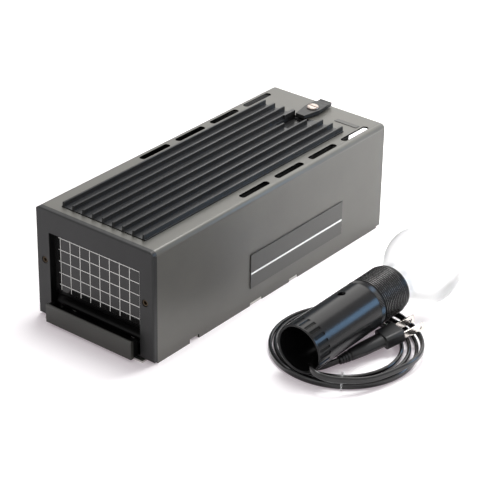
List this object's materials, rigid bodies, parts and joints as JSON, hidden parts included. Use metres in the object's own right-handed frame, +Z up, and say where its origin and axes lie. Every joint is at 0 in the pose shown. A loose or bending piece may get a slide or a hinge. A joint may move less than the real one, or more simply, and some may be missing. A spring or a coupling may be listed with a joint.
{
  "type": "enlarger head",
  "caption": "Long lamphouse with mirror, ribbed heat sink, filter drawer and clamp lever, with its lamp holder, bulb and coiled lead lying beside it.",
  "frame": {"origin": "centre of the round light exit, on the underside of the base plate", "axes": "+X across the head to the side with the label plate, +Y along the head from its front to its rear, +Z up against the light that leaves the exit"},
  "size_m": [0.2708, 0.2978, 0.1012],
  "materials": {
    "cover_paint": "semi-gloss metallic grey-brown paint",
    "bezel_plastic": "dark grey moulding, fine matt grain",
    "panel_gloss": "glossy black panel with a pale printed grid",
    "black_steel": "blackened steel",
    "black_aluminium": "black anodised extrusion, satin",
    "plated_steel": "zinc plated sheet and screws",
    "black_paint": "matt black paint",
    "brass": "plain brass",
    "bright_nickel": "bright nickel plating",
    "mirror": "front silvered glass",
    "heat_glass": "clear glass with a green tint",
    "lip_plastic": "black moulding, satin",
    "label_dark": "dark bare plate, satin",
    "label_pale": "pale printed lines",
    "holder_plastic": "glossy black phenolic moulding",
    "ceramic": "unglazed ceramic",
    "opal_glass": "opal white glass, glossy",
    "lead_sheath": "black flat twin sheath, semi-gloss",
    "plug_plastic": "black moulded plug",
    "clear_tie": "clear plastic tie"
  },
  "bodies": {
    "housing": {"cover_shell": "cover_paint", "front_bezel": "bezel_plastic", "grid_panel": "panel_gloss", "front_screws": "black_steel", "heat_sink": "black_aluminium", "base_plate": "plated_steel", "base_screws": "plated_steel", "side_wall_left": "black_paint", "side_wall_right": "black_paint", "rear_wall": "black_paint", "wall_screws": "plated_steel", "lamp_collar": "black_paint", "collar_screws": "plated_steel", "clamp_shoe": "brass", "lever_washer": "bright_nickel", "mirror_glass": "mirror", "mirror_carrier": "black_paint", "mirror_clips": "plated_steel", "heat_glass": "heat_glass", "heat_glass_frame": "black_paint", "heat_glass_springs": "plated_steel", "drawer_rail_left": "plated_steel", "drawer_rail_right": "plated_steel", "drawer_stop": "plated_steel", "side_label": "label_dark", "top_strip": "label_dark"},
    "filter_drawer": {"drawer_tray": "black_paint", "drawer_lip": "lip_plastic", "drawer_screws": "black_steel"},
    "lever": {"clamp_lever": "black_steel", "lever_screw": "bright_nickel", "clamp_stud": "plated_steel"},
    "lamp_set": {"lamp_tube": "holder_plastic", "lock_ring": "holder_plastic", "socket_shell": "holder_plastic", "socket_core": "ceramic", "socket_contacts": "brass", "bulb_cap": "brass", "bulb_glass": "opal_glass", "cord_grip": "holder_plastic", "cord_tail": "lead_sheath", "cord_coil": "lead_sheath", "cord_end": "lead_sheath", "plug_relief": "plug_plastic", "plug_body": "plug_plastic", "plug_blades": "bright_nickel", "cord_tie": "clear_tie"}
  },
  "joints": [
    {"name": "drawer_slide", "type": "slide", "parent": "housing", "child": "filter_drawer", "axis": [0, -1, 0], "range_m": [0, 0.085]},
    {"name": "lever_turn", "type": "hinge", "parent": "housing", "child": "lever", "pos_m": [0, 0.2145, 0.096], "axis": [0, 0, 1], "range_deg": [0, 50]},
    {"name": "lamp_lift", "type": "slide", "parent": "housing", "child": "lamp_set", "axis": [0, 0, 1], "range_m": [0, 0.15]}
  ]
}
